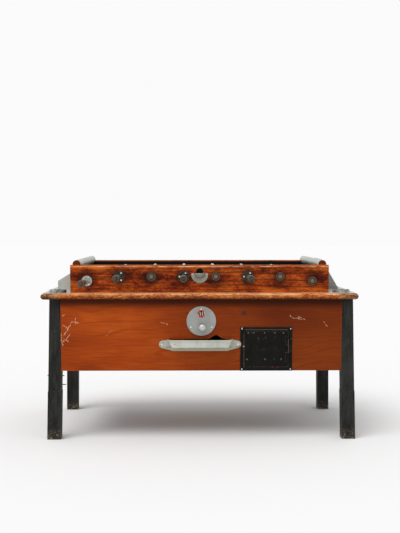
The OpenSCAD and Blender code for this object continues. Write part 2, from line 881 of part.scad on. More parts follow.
handle(8);  // handle_8
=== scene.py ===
import bpy
import bmesh
import math
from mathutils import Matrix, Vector


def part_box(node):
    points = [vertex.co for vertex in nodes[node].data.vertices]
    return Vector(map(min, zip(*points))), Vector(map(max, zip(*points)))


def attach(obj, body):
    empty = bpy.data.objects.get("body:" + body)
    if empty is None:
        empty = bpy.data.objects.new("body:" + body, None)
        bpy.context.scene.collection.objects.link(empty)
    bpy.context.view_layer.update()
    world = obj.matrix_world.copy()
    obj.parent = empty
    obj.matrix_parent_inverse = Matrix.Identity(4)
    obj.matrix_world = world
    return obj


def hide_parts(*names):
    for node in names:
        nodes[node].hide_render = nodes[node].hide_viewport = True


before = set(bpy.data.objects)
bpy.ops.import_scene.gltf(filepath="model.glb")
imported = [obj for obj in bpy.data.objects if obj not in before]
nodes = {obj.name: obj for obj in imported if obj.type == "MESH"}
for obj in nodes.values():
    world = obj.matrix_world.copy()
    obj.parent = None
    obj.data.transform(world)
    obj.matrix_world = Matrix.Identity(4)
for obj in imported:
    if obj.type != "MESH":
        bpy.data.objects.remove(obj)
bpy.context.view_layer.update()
print("frame loaded:", len(nodes), "nodes")


# small helpers for shader nodes
def newMaterial(name, roughness=0.5, metallic=0.0):
    mat = bpy.data.materials.new(name)
    mat.use_nodes = True
    tree = mat.node_tree
    bsdf = tree.nodes["Principled BSDF"]
    bsdf.inputs["Roughness"].default_value = roughness
    bsdf.inputs["Metallic"].default_value = metallic
    return mat, tree, bsdf


def placed(tree, scale=(1, 1, 1), turn=(0, 0, 0), shift=(0, 0, 0)):
    # the object's own coordinates in metres, stretched, turned and shifted
    coord = tree.nodes.new("ShaderNodeTexCoord")
    mapping = tree.nodes.new("ShaderNodeMapping")
    mapping.inputs["Scale"].default_value = scale
    mapping.inputs["Rotation"].default_value = turn
    mapping.inputs["Location"].default_value = shift
    tree.links.new(coord.outputs["Object"], mapping.inputs["Vector"])
    return mapping.outputs["Vector"]


def noise(tree, vector, scale, detail=4.0, roughness=0.55, distortion=0.0):
    node = tree.nodes.new("ShaderNodeTexNoise")
    node.inputs["Scale"].default_value = scale
    node.inputs["Detail"].default_value = detail
    node.inputs["Roughness"].default_value = roughness
    node.inputs["Distortion"].default_value = distortion
    tree.links.new(vector, node.inputs["Vector"])
    return node.outputs["Fac"]


def ramp(tree, factor, stops, smooth=False):
    node = tree.nodes.new("ShaderNodeValToRGB")
    band = node.color_ramp
    if smooth:
        band.interpolation = "EASE"
    while len(band.elements) < len(stops):
        band.elements.new(0.5)
    for element, (position, colour) in zip(band.elements, stops):
        element.position = position
        element.color = (*colour, 1) if len(colour) == 3 else colour
    tree.links.new(factor, node.inputs["Fac"])
    return node.outputs["Color"]


def mask(tree, factor, low, high):
    # 0 below low, 1 above high (or the other way round when low > high)
    node = tree.nodes.new("ShaderNodeMapRange")
    node.clamp = True
    node.inputs["From Min"].default_value = low
    node.inputs["From Max"].default_value = high
    tree.links.new(factor, node.inputs["Value"])
    return node.outputs["Result"]


def math2(tree, kind, first, second=0.5):
    node = tree.nodes.new("ShaderNodeMath")
    node.operation = kind
    for socket, value in zip(node.inputs, (first, second)):
        if isinstance(value, (int, float)):
            socket.default_value = value
        else:
            tree.links.new(value, socket)
    return node.outputs["Value"]


def mixed(tree, factor, first, second, blend="MIX"):
    node = tree.nodes.new("ShaderNodeMix")
    node.data_type = "RGBA"
    node.blend_type = blend
    ends = [s for s in node.inputs if s.type == "RGBA"]
    if isinstance(factor, (int, float)):
        node.inputs[0].default_value = factor
    else:
        tree.links.new(factor, node.inputs[0])
    for socket, value in zip(ends, (first, second)):
        if isinstance(value, tuple):
            socket.default_value = (*value, 1)
        else:
            tree.links.new(value, socket)
    return [s for s in node.outputs if s.type == "RGBA"][0]


def axis(tree, which):
    # one coordinate of the object's own space, in metres
    coord = tree.nodes.new("ShaderNodeTexCoord")
    split = tree.nodes.new("ShaderNodeSeparateXYZ")
    tree.links.new(coord.outputs["Object"], split.inputs["Vector"])
    return split.outputs[which]


def bumped(tree, bsdf, height, strength=0.3, distance=0.001, rounding=0.0):
    node = tree.nodes.new("ShaderNodeBump")
    node.inputs["Strength"].default_value = strength
    node.inputs["Distance"].default_value = distance
    tree.links.new(height, node.inputs["Height"])
    if rounding:
        soft = tree.nodes.new("ShaderNodeBevel")
        soft.samples = 4
        soft.inputs["Radius"].default_value = rounding
        tree.links.new(soft.outputs["Normal"], node.inputs["Normal"])
    tree.links.new(node.outputs["Normal"], bsdf.inputs["Normal"])


def edges(tree, radius, low=0.02, high=0.25):
    # 1 near a sharp edge, 0 on a flat face
    soft = tree.nodes.new("ShaderNodeBevel")
    soft.samples = 4
    soft.inputs["Radius"].default_value = radius
    geometry = tree.nodes.new("ShaderNodeNewGeometry")
    product = tree.nodes.new("ShaderNodeVectorMath")
    product.operation = "DOT_PRODUCT"
    tree.links.new(soft.outputs["Normal"], product.inputs[0])
    tree.links.new(geometry.outputs["Normal"], product.inputs[1])
    return mask(tree, math2(tree, "SUBTRACT", 1.0, product.outputs["Value"]), low, high)


def near(tree, x, z, reach, fade=0.5):
    # 1 within reach of a place on the front, fading to 0
    dx = math2(tree, "SUBTRACT", axis(tree, "X"), x)
    dz = math2(tree, "SUBTRACT", axis(tree, "Z"), z)
    squares = math2(tree, "ADD", math2(tree, "MULTIPLY", dx, dx), math2(tree, "MULTIPLY", dz, dz))
    away = math2(tree, "SQRT", squares)
    return mask(tree, away, reach, reach * fade)


def quiet(bsdf, specular, coat=0.0, coatRoughness=0.3):
    bsdf.inputs["Specular IOR Level"].default_value = specular
    bsdf.inputs["Coat Weight"].default_value = coat
    bsdf.inputs["Coat Roughness"].default_value = coatRoughness


# the finishes, one function each
railLook = {"dark": (0.034, 0.006, 0.002), "red": (0.16, 0.018, 0.003), "warm": (0.29, 0.040, 0.004),
            "orange": (0.52, 0.115, 0.013), "lit": (0.40, 0.11, 0.025), "paintedHighlight": (0.90, 0.52, 0.28),
            "paint": (0.006, 0.007, 0.008), "rodPitch": 0.15, "rodHeight": 0.763, "paintedTo": 0.362,
            "paintedUp": 0.8125, "noseFrom": 0.811, "railTop": 0.817, "wallBack": 0.5915}


def railWood():
    mat, tree, bsdf = newMaterial("mottledRailVarnish")
    patches = noise(tree, placed(tree, (9, 9, 22)), 1.0, 6, 0.66, 0.25)
    fine = noise(tree, placed(tree, (55, 60, 150)), 1.0, 6, 0.78)
    x, z = axis(tree, "X"), axis(tree, "Z")
    up = math2(tree, "ABSOLUTE", math2(tree, "SUBTRACT", z, railLook["rodHeight"] - 0.005))
    # the middle of the rail has darkened most
    level = math2(tree, "ADD", math2(tree, "ADD", math2(tree, "MULTIPLY", patches, 0.62),
                                     math2(tree, "MULTIPLY", fine, 0.42)), math2(tree, "MULTIPLY", up, 1.5))
    wood = ramp(tree, level, [(0.46, railLook["dark"]), (0.51, railLook["red"]),
                              (0.57, railLook["warm"]), (0.67, railLook["orange"])])
    grain = noise(tree, placed(tree, (5, 150, 150)), 1.0, 4, 0.6)
    wood = mixed(tree, math2(tree, "MULTIPLY", mask(tree, grain, 0.56, 0.40), 0.65), wood, railLook["dark"])
    # hands and oil darken the varnish round every bush
    along = math2(tree, "MULTIPLY", math2(tree, "SUBTRACT", math2(tree, "FRACT", math2(
        tree, "DIVIDE", x, railLook["rodPitch"])), 0.5), railLook["rodPitch"])
    away = math2(tree, "SQRT", math2(tree, "ADD", math2(tree, "MULTIPLY", along, along),
                                     math2(tree, "MULTIPLY", up, up)))
    halo = mask(tree, math2(tree, "ADD", away, math2(tree, "MULTIPLY", fine, 0.05)), 0.078, 0.050)
    wood = mixed(tree, math2(tree, "MULTIPLY", halo, 0.7), wood, railLook["dark"])
    # painted highlight: the rounded top edge is painted pale where the light from above catches it
    wearAndSheen = math2(tree, "MULTIPLY", mask(tree, z, railLook["noseFrom"], railLook["noseFrom"] + 0.004),
                mask(tree, fine, 0.35, 0.60))
    wearAndSheen = math2(tree, "MULTIPLY", wearAndSheen, mask(tree, z, railLook["railTop"] + 0.001, railLook["railTop"]))
    wood = mixed(tree, wearAndSheen, wood, railLook["lit"])
    # a thin painted highlight line along the front of the nosing, broken by noise
    paintedHighlight = math2(tree, "MULTIPLY", mask(tree, z, 0.8066, 0.8076), mask(tree, z, 0.8112, 0.8100))
    highlightBreaks = noise(tree, placed(tree, (14, 14, 60)), 1.0, 4, 0.7)
    paintedHighlight = math2(tree, "MULTIPLY", paintedHighlight, mask(tree, highlightBreaks, 0.40, 0.60))
    wood = mixed(tree, math2(tree, "MULTIPLY", paintedHighlight, 0.85), wood, railLook["paintedHighlight"])
    # the round bars over the end walls are painted darker
    bars = mask(tree, z, railLook["railTop"] + 0.0002, railLook["railTop"] + 0.001)
    wood = mixed(tree, math2(tree, "MULTIPLY", bars, 0.75), wood, railLook["dark"])
    # the inside of the playing space is painted black, up to the inner part of the top
    depth = math2(tree, "ABSOLUTE", axis(tree, "Y"))
    paint = math2(tree, "MULTIPLY", mask(tree, depth, railLook["paintedTo"] + 0.0014, railLook["paintedTo"]),
                  mask(tree, math2(tree, "ADD", z, math2(tree, "MULTIPLY", fine, 0.002)),
                       railLook["paintedUp"] + 0.001, railLook["paintedUp"]))
    # the backs of the end walls are bare varnish
    paint = math2(tree, "MULTIPLY", paint, mask(tree, math2(tree, "ABSOLUTE", x), railLook["wallBack"],
                                                railLook["wallBack"] - 0.001))
    tree.links.new(mixed(tree, paint, wood, railLook["paint"]), bsdf.inputs["Base Color"])
    tree.links.new(mask(tree, patches, -0.5, 1.6), bsdf.inputs["Roughness"])
    bumped(tree, bsdf, math2(tree, "ADD", grain, fine), 0.25, 0.0006, 0.002)
    quiet(bsdf, 0.05, 0.03)
    return mat


apronLook = {"shade": (0.20, 0.024, 0.0015), "mid": (0.35, 0.052, 0.0038), "glow": (0.47, 0.085, 0.007),
             "scratch": (0.70, 0.46, 0.30), "dull": (0.060, 0.011, 0.0015), "paintedSlabShadow": (0.030, 0.0045, 0.0004),
             # scratches from one place to another on the front: across, height, across, height, width
             "scratches": [(-0.632, 0.490, -0.590, 0.560, 0.0022), (-0.598, 0.560, -0.560, 0.548, 0.0018),
                           (-0.640, 0.545, -0.612, 0.520, 0.0020), (-0.622, 0.470, -0.600, 0.500, 0.0024),
                           (-0.640, 0.462, -0.628, 0.470, 0.0040), (-0.636, 0.478, -0.610, 0.462, 0.0020),
                           (-0.645, 0.505, -0.640, 0.440, 0.0026), (-0.575, 0.575, -0.580, 0.540, 0.0014),
                           (-0.640, 0.580, -0.625, 0.592, 0.0016), (-0.186, 0.552, -0.160, 0.548, 0.0014),
                           (-0.160, 0.556, -0.150, 0.538, 0.0012), (-0.430, 0.500, -0.405, 0.516, 0.0010),
                           (-0.440, 0.488, -0.425, 0.500, 0.0010), (0.418, 0.588, 0.432, 0.570, 0.0018),
                           (0.432, 0.570, 0.492, 0.566, 0.0020), (0.575, 0.556, 0.596, 0.530, 0.0016),
                           (0.455, 0.574, 0.480, 0.576, 0.0012)]}


def stroke(tree, x0, z0, x1, z1, width, rough):
    # 1 along a rough-edged straight line on the front
    length = math.hypot(x1 - x0, z1 - z0)
    ux, uz = (x1 - x0) / length, (z1 - z0) / length
    dx = math2(tree, "SUBTRACT", axis(tree, "X"), (x0 + x1) / 2)
    dz = math2(tree, "SUBTRACT", axis(tree, "Z"), (z0 + z1) / 2)
    along = math2(tree, "ABSOLUTE", math2(tree, "ADD", math2(tree, "MULTIPLY", dx, ux),
                                          math2(tree, "MULTIPLY", dz, uz)))
    across = math2(tree, "ADD", math2(tree, "MULTIPLY", dx, -uz), math2(tree, "MULTIPLY", dz, ux))
    across = math2(tree, "ADD", across, math2(tree, "MULTIPLY", math2(tree, "SUBTRACT", rough, 0.5), 0.020))
    side = mask(tree, math2(tree, "ABSOLUTE", across), width, width * 0.4)
    return math2(tree, "MULTIPLY", side, mask(tree, along, length / 2, length / 2 - 0.004))


def apronWood():
    mat, tree, bsdf = newMaterial("apronVeneer")
    warp = noise(tree, placed(tree, (1.3, 2.0, 4.0)), 1.0, 2, 0.5, 0.6)
    bands = math2(tree, "ADD", math2(tree, "MULTIPLY", axis(tree, "Z"), 150.0),
                  math2(tree, "MULTIPLY", warp, 60.0))
    rings = mask(tree, math2(tree, "SINE", bands), 0.80, 1.0)
    pores = noise(tree, placed(tree, (9, 200, 260)), 1.0, 6, 0.7)
    cloud = noise(tree, placed(tree, (2.2, 2.2, 6.0), shift=(3, 0, 1)), 1.0, 4, 0.55, 0.4)
    level = math2(tree, "ADD", math2(tree, "MULTIPLY", cloud, 0.62), math2(tree, "MULTIPLY", pores, 0.38))
    wood = ramp(tree, level, [(0.36, apronLook["shade"]), (0.51, apronLook["mid"]),
                              (0.64, apronLook["glow"])])
    veins = math2(tree, "MULTIPLY", rings, mask(tree, cloud, 0.42, 0.58))
    wood = mixed(tree, math2(tree, "MULTIPLY", veins, 0.45), wood, apronLook["shade"])
    # painted shade: the veneer is painted darker towards the door, away from the light on the left, and a
    # painted shadow of the slab lies under it
    side = mask(tree, math2(tree, "ADD", axis(tree, "X"), math2(tree, "MULTIPLY", cloud, 0.12)), -0.26, 0.40)
    wood = mixed(tree, math2(tree, "MULTIPLY", side, 0.62), wood, apronLook["dull"])
    # painted shadow of the overhanging slab along the top of the apron
    paintedSlabShadow = mask(tree, math2(tree, "ADD", axis(tree, "Z"), math2(tree, "MULTIPLY", cloud, 0.008)),
                 0.618, 0.648)
    wood = mixed(tree, math2(tree, "MULTIPLY", paintedSlabShadow, 0.88), wood, apronLook["paintedSlabShadow"])
    rough = noise(tree, placed(tree, (55, 9, 55)), 1.0, 4, 0.6)
    marks = None
    for place in apronLook["scratches"]:
        one = stroke(tree, *place, rough)
        marks = one if marks is None else math2(tree, "MAXIMUM", marks, one)
    broken = noise(tree, placed(tree, (160, 9, 160)), 1.0, 3, 0.6)
    marks = math2(tree, "MULTIPLY", marks, mask(tree, broken, 0.40, 0.52))
    front = mask(tree, axis(tree, "Y"), -0.4135, -0.4139)
    marks = math2(tree, "MULTIPLY", marks, front)
    wood = mixed(tree, math2(tree, "MULTIPLY", marks, 0.85), wood, apronLook["scratch"])
    worn = math2(tree, "MULTIPLY", edges(tree, 0.004), mask(tree, pores, 0.45, 0.6))
    wood = mixed(tree, math2(tree, "MULTIPLY", worn, 0.5), wood, (0.40, 0.16, 0.06))
    # a red-painted edge round the tray opening
    lip = math2(tree, "MULTIPLY", math2(tree, "MULTIPLY", near(tree, 0.0, 0.478, 0.145, 0.98),
                                        mask(tree, axis(tree, "Y"), -0.4139, -0.4135)),
                mask(tree, axis(tree, "Z"), 0.470, 0.4745))
    lip = math2(tree, "MULTIPLY", lip, mask(tree, axis(tree, "Y"), -0.3950, -0.3954))
    wood = mixed(tree, lip, wood, (0.16, 0.008, 0.010))
    tree.links.new(wood, bsdf.inputs["Base Color"])
    tree.links.new(mask(tree, cloud, -1.0, 2.2), bsdf.inputs["Roughness"])
    bumped(tree, bsdf, math2(tree, "ADD", pores, marks), 0.22, 0.0005, 0.0012)
    quiet(bsdf, 0.07, 0.03)
    return mat


slabLook = {"low": (0.075, 0.014, 0.003), "mid": (0.33, 0.072, 0.010), "top": (0.70, 0.28, 0.07),
            "dirtAndShade": (0.028, 0.009, 0.004), "bare": (0.42, 0.26, 0.14), "lit": (0.80, 0.52, 0.34),
            "end": (0.060, 0.030, 0.014)}


def slabWood():
    mat, tree, bsdf = newMaterial("slabVarnish")
    fibre = noise(tree, placed(tree, (26, 90, 190)), 1.0, 5, 0.75)
    blotch = noise(tree, placed(tree, (12, 12, 40)), 1.0, 6, 0.7, 0.5)
    grit = noise(tree, placed(tree, (95, 95, 150), (0, 0.5, 0)), 1.0, 4, 0.7)
    z = axis(tree, "Z")
    # painted light and shade: the nosing is painted lightest in its upper half, where the light from above
    # falls, and dark along the bottom edge, partly painted shade and partly dirt
    level = math2(tree, "ADD", math2(tree, "ADD", math2(tree, "MULTIPLY", fibre, 0.32),
                                     math2(tree, "MULTIPLY", blotch, 0.30)),
                  math2(tree, "MULTIPLY", grit, 0.38))
    level = math2(tree, "ADD", level, math2(tree, "MULTIPLY", mask(tree, z, 0.661, 0.684), 0.14))
    wood = ramp(tree, level, [(0.47, slabLook["low"]), (0.575, slabLook["mid"]), (0.70, slabLook["top"])])
    low = mask(tree, math2(tree, "ADD", z, math2(tree, "MULTIPLY", grit, 0.014)), 0.675, 0.667)
    wood = mixed(tree, math2(tree, "MULTIPLY", low, 0.70), wood, slabLook["dirtAndShade"])
    ends = mask(tree, math2(tree, "ABSOLUTE", axis(tree, "X")), 0.62, 0.71)
    wood = mixed(tree, math2(tree, "MULTIPLY", ends, mask(tree, grit, 0.70, 0.42)), wood, slabLook["end"])
    rubbed = math2(tree, "MULTIPLY", ends, mask(tree, blotch, 0.52, 0.62))
    wood = mixed(tree, math2(tree, "MULTIPLY", rubbed, 0.7), wood, slabLook["bare"])
    chips = mask(tree, noise(tree, placed(tree, (70, 70, 110)), 1.0, 3, 0.6), 0.64, 0.68)
    wood = mixed(tree, math2(tree, "MULTIPLY", chips, 0.8), wood, slabLook["dirtAndShade"])
    # a broken painted highlight along the top of the nosing, and a pale top face painted as lit from above
    paintedHighlight = math2(tree, "MULTIPLY", mask(tree, z, 0.6815, 0.6830), mask(tree, z, 0.6862, 0.6850))
    paintedHighlight = math2(tree, "MULTIPLY", paintedHighlight, mask(tree, blotch, 0.42, 0.56))
    paintedHighlight = math2(tree, "MULTIPLY", paintedHighlight, mask(tree, axis(tree, "X"), -0.70, -0.05))
    wood = mixed(tree, math2(tree, "MULTIPLY", paintedHighlight, 0.7), wood, slabLook["lit"])
    litTopFace = math2(tree, "MULTIPLY", mask(tree, z, 0.6872, 0.6879), mask(tree, fibre, 0.30, 0.55))
    wood = mixed(tree, math2(tree, "MULTIPLY", litTopFace, 0.7), wood, slabLook["lit"])
    tree.links.new(wood, bsdf.inputs["Base Color"])
    tree.links.new(mask(tree, blotch, -0.6, 1.7), bsdf.inputs["Roughness"])
    bumped(tree, bsdf, math2(tree, "ADD", fibre, chips), 0.3, 0.0007)
    quiet(bsdf, 0.10, 0.05)
    return mat


def plainFinish(name, base, other, speck, grainScale, roughness, metallic, wearTo, wearRadius=0.003,
                stretch=(1, 1, 1), bumpDepth=0.0005, coat=0.0, specks=(0.70, 0.74), specular=0.5,
                rubShare=1.0):
    # a painted, cast or sheet finish: two clouded tones, specks, worn edges and a fine texture
    mat, tree, bsdf = newMaterial(name, roughness, metallic)
    cloud = noise(tree, placed(tree, stretch), 14.0, 5, 0.62, 0.3)
    fine = noise(tree, placed(tree, stretch), grainScale, 4, 0.6)
    colour = mixed(tree, mask(tree, cloud, 0.38, 0.64), base, other)
    dots = mask(tree, noise(tree, placed(tree), grainScale * 0.6, 3, 0.6), *specks)
    colour = mixed(tree, dots, colour, speck)
    wearAndSheen = math2(tree, "MULTIPLY", edges(tree, wearRadius), mask(tree, fine, 0.40, 0.58))
    colour = mixed(tree, math2(tree, "MULTIPLY", wearAndSheen, rubShare), colour, wearTo)
    tree.links.new(colour, bsdf.inputs["Base Color"])
    rough = math2(tree, "ADD", math2(tree, "MULTIPLY", cloud, 0.35), roughness - 0.17)
    tree.links.new(rough, bsdf.inputs["Roughness"])
    bumped(tree, bsdf, math2(tree, "ADD", fine, math2(tree, "MULTIPLY", dots, 0.5)), 0.3, bumpDepth,
           wearRadius * 0.4)
    quiet(bsdf, specular, coat)
    return mat


def woodFinish(name, dark, light, stretch, roughness, wearTo, shadedFrom=None, rubRadius=0.003):
    # plain timber with its grain along one direction
    mat, tree, bsdf = newMaterial(name, roughness)
    fibre = noise(tree, placed(tree, stretch), 1.0, 6, 0.65, 0.3)
    cloud = noise(tree, placed(tree), 16.0, 4, 0.6)
    level = math2(tree, "ADD", math2(tree, "MULTIPLY", fibre, 0.6), math2(tree, "MULTIPLY", cloud, 0.4))
    colour = ramp(tree, level, [(0.36, dark), (0.64, light)])
    wearAndSheen = math2(tree, "MULTIPLY", edges(tree, rubRadius), mask(tree, fibre, 0.36, 0.5))
    colour = mixed(tree, wearAndSheen, colour, wearTo)
    if shadedFrom is not None:
        # painted black towards the front as painted shade inside the cabinet
        depth = math2(tree, "ADD", axis(tree, "Y"), math2(tree, "MULTIPLY", cloud, 0.05))
        insideShade = mask(tree, depth, shadedFrom, -0.37)
        colour = mixed(tree, insideShade, colour, (0.004, 0.003, 0.003))
    tree.links.new(colour, bsdf.inputs["Base Color"])
    tree.links.new(math2(tree, "ADD", math2(tree, "MULTIPLY", cloud, 0.3), roughness - 0.15),
                   bsdf.inputs["Roughness"])
    bumped(tree, bsdf, fibre, 0.3, 0.0006, 0.001)
    quiet(bsdf, 0.15)
    return mat


bushLook = {"oil": (0.012, 0.011, 0.008), "bronze": (0.050, 0.038, 0.026), "speck": (0.17, 0.13, 0.09),
            "far": (0.13, 0.075, 0.048),
            "pale": (0.36, 0.365, 0.33), "hubHighlight": (0.22, 0.16, 0.11), "rodOne": (-0.525, 0.743, 0.030),
            "pivots": [-0.225, 0.075, 0.375, 0.525]}


def bushFinish():
    # oily dark bushes; the first one was replaced with a bare alloy bush
    mat, tree, bsdf = newMaterial("oiledBush", 0.4, 0.3)
    cloud = noise(tree, placed(tree), 90.0, 5, 0.7, 0.4)
    fine = noise(tree, placed(tree), 340.0, 4, 0.6)
    colour = mixed(tree, mask(tree, cloud, 0.40, 0.62), bushLook["oil"], bushLook["bronze"])
    # the pivot bushes of the rear players' rods have a browner, drier face
    drier = None
    for x in bushLook["pivots"]:
        one = mask(tree, math2(tree, "ABSOLUTE", math2(tree, "SUBTRACT", axis(tree, "X"), x)), 0.04, 0.035)
        drier = one if drier is None else math2(tree, "MAXIMUM", drier, one)
    brown = mixed(tree, mask(tree, cloud, 0.38, 0.60), bushLook["bronze"], bushLook["far"])
    colour = mixed(tree, drier, colour, brown)
    # painted light and shade: the raised hub in the middle gets a painted highlight, with a dark ring of
    # painted shade round it
    across = math2(tree, "SUBTRACT", math2(tree, "FRACT", math2(tree, "DIVIDE", axis(tree, "X"), 0.15)), 0.5)
    across = math2(tree, "MULTIPLY", across, 0.15)
    low = mask(tree, math2(tree, "ABSOLUTE", axis(tree, "X")), 0.44, 0.46)
    middle = math2(tree, "SUBTRACT", 0.763, math2(tree, "MULTIPLY", low, 0.020))
    up = math2(tree, "SUBTRACT", axis(tree, "Z"), middle)
    radius = math2(tree, "SQRT", math2(tree, "ADD", math2(tree, "MULTIPLY", across, across),
                                       math2(tree, "MULTIPLY", up, up)))
    dirtAndShade = math2(tree, "MULTIPLY", mask(tree, radius, 0.0095, 0.0110), mask(tree, radius, 0.0150, 0.0130))
    colour = mixed(tree, math2(tree, "MULTIPLY", dirtAndShade, 0.9), colour, bushLook["oil"])
    # painted shade along the rim of the pivot bushes
    rim = mask(tree, radius, 0.0180, 0.0205)
    rimShade = math2(tree, "MULTIPLY", math2(tree, "MULTIPLY", rim, drier), 0.8)
    colour = mixed(tree, rimShade, colour, bushLook["oil"])
    hubHighlight = math2(tree, "MULTIPLY", mask(tree, radius, 0.0100, 0.0085), 0.6)
    colour = mixed(tree, hubHighlight, colour, bushLook["hubHighlight"])
    colour = mixed(tree, mask(tree, fine, 0.68, 0.74), colour, bushLook["speck"])
    front = mask(tree, axis(tree, "Y"), -0.3, -0.35)
    first = math2(tree, "MULTIPLY", near(tree, *bushLook["rodOne"], 0.9), front)
    pale = mixed(tree, mask(tree, cloud, 0.36, 0.46), bushLook["bronze"], bushLook["pale"])
    colour = mixed(tree, first, colour, pale)
    wearAndSheen = math2(tree, "MULTIPLY", edges(tree, 0.0025), mask(tree, fine, 0.40, 0.58))
    tree.links.new(mixed(tree, math2(tree, "MULTIPLY", wearAndSheen, 0.6), colour, (0.20, 0.18, 0.13)),
                   bsdf.inputs["Base Color"])
    tree.links.new(math2(tree, "ADD", math2(tree, "MULTIPLY", cloud, 0.3), 0.3), bsdf.inputs["Roughness"])
    bumped(tree, bsdf, math2(tree, "ADD", fine, cloud), 0.4, 0.0005, 0.001)
    quiet(bsdf, 0.25)
    return mat


hoodLook = {"pale": (0.52, 0.53, 0.49), "dull": (0.42, 0.43, 0.40), "rightSideShade": (0.15, 0.145, 0.135),
            "stain": (0.10, 0.09, 0.07)}


def hoodFinish():
    # bent sheet; the one on the right is painted much darker as painted shade, out of the light from the left
    mat, tree, bsdf = newMaterial("hoodSheet", 0.45, 0.25)
    cloud = noise(tree, placed(tree, (1, 1, 2)), 16.0, 5, 0.65, 0.3)
    fine = noise(tree, placed(tree), 170.0, 4, 0.6)
    colour = mixed(tree, mask(tree, cloud, 0.36, 0.62), hoodLook["pale"], hoodLook["dull"])
    rightShade = math2(tree, "MULTIPLY", mask(tree, axis(tree, "X"), 0.1, 0.2), mask(tree, cloud, 0.20, 0.62))
    colour = mixed(tree, math2(tree, "ADD", math2(tree, "MULTIPLY", rightShade, 0.35), math2(
        tree, "MULTIPLY", mask(tree, axis(tree, "X"), 0.1, 0.2), 0.5)), colour, hoodLook["rightSideShade"])
    colour = mixed(tree, mask(tree, fine, 0.70, 0.78), colour, hoodLook["stain"])
    wearAndSheen = math2(tree, "MULTIPLY", edges(tree, 0.002), mask(tree, fine, 0.40, 0.58))
    tree.links.new(mixed(tree, wearAndSheen, colour, hoodLook["pale"]), bsdf.inputs["Base Color"])
    tree.links.new(math2(tree, "ADD", math2(tree, "MULTIPLY", cloud, 0.3), 0.3), bsdf.inputs["Roughness"])
    bumped(tree, bsdf, fine, 0.3, 0.0004, 0.001)
    quiet(bsdf, 0.3)
    return mat


legLook = {"black": (0.010, 0.010, 0.009), "grey": (0.034, 0.034, 0.031), "speck": (0.22, 0.19, 0.15),
           "bare": (0.27, 0.21, 0.14)}


def legFinish():
    # thick black paint, chipped along the edges and rubbed bare at the feet
    mat, tree, bsdf = newMaterial("legPaint", 0.65)
    cloud = noise(tree, placed(tree, (1, 1, 0.35)), 18.0, 6, 0.7, 0.3)
    streak = noise(tree, placed(tree, (160, 160, 9)), 1.0, 5, 0.7)
    fine = noise(tree, placed(tree), 150.0, 4, 0.65)
    colour = mixed(tree, mask(tree, math2(tree, "ADD", math2(tree, "MULTIPLY", cloud, 0.5), math2(
        tree, "MULTIPLY", streak, 0.5)), 0.42, 0.60), legLook["black"], legLook["grey"])
    colour = mixed(tree, mask(tree, fine, 0.69, 0.73), colour, legLook["speck"])
    foot = mask(tree, axis(tree, "Z"), 0.055, 0.004)
    chip = math2(tree, "MULTIPLY", edges(tree, 0.0045), mask(tree, fine, 0.50, 0.60))
    footRub = math2(tree, "MULTIPLY", foot, mask(tree, math2(tree, "ADD", fine, math2(
        tree, "MULTIPLY", edges(tree, 0.006), 0.2)), 0.52, 0.62))
    bare = math2(tree, "MAXIMUM", math2(tree, "MULTIPLY", chip, 0.5), footRub)
    colour = mixed(tree, math2(tree, "MULTIPLY", bare, 0.9), colour, legLook["bare"])
    tree.links.new(colour, bsdf.inputs["Base Color"])
    tree.links.new(math2(tree, "ADD", math2(tree, "MULTIPLY", cloud, 0.35), 0.45), bsdf.inputs["Roughness"])
    bumped(tree, bsdf, math2(tree, "ADD", fine, streak), 0.4, 0.0007, 0.0015)
    quiet(bsdf, 0.12)
    return mat


def steelFinish():
    # bright where the rods run, brown and dull on the button behind each handle
    mat, tree, bsdf = newMaterial("rodSteel", 0.24, 1.0)
    streak = noise(tree, placed(tree, (1, 0.2, 1)), 420, 4, 0.6)
    cloud = noise(tree, placed(tree), 60, 4, 0.6)
    bright = mixed(tree, mask(tree, cloud, 0.36, 0.64), (0.48, 0.48, 0.46), (0.62, 0.62, 0.60))
    dull = mixed(tree, mask(tree, cloud, 0.40, 0.60), (0.030, 0.022, 0.014), (0.11, 0.085, 0.055))
    end = mask(tree, math2(tree, "ABSOLUTE", axis(tree, "Y")), 0.600, 0.604)
    tree.links.new(mixed(tree, end, bright, dull), bsdf.inputs["Base Color"])
    tree.links.new(math2(tree, "ADD", math2(tree, "MULTIPLY", cloud, 0.2), 0.14), bsdf.inputs["Roughness"])
    tree.links.new(math2(tree, "SUBTRACT", 1.0, math2(tree, "MULTIPLY", end, 0.6)), bsdf.inputs["Metallic"])
    bumped(tree, bsdf, streak, 0.3, 0.0001, 0.0005)
    return mat


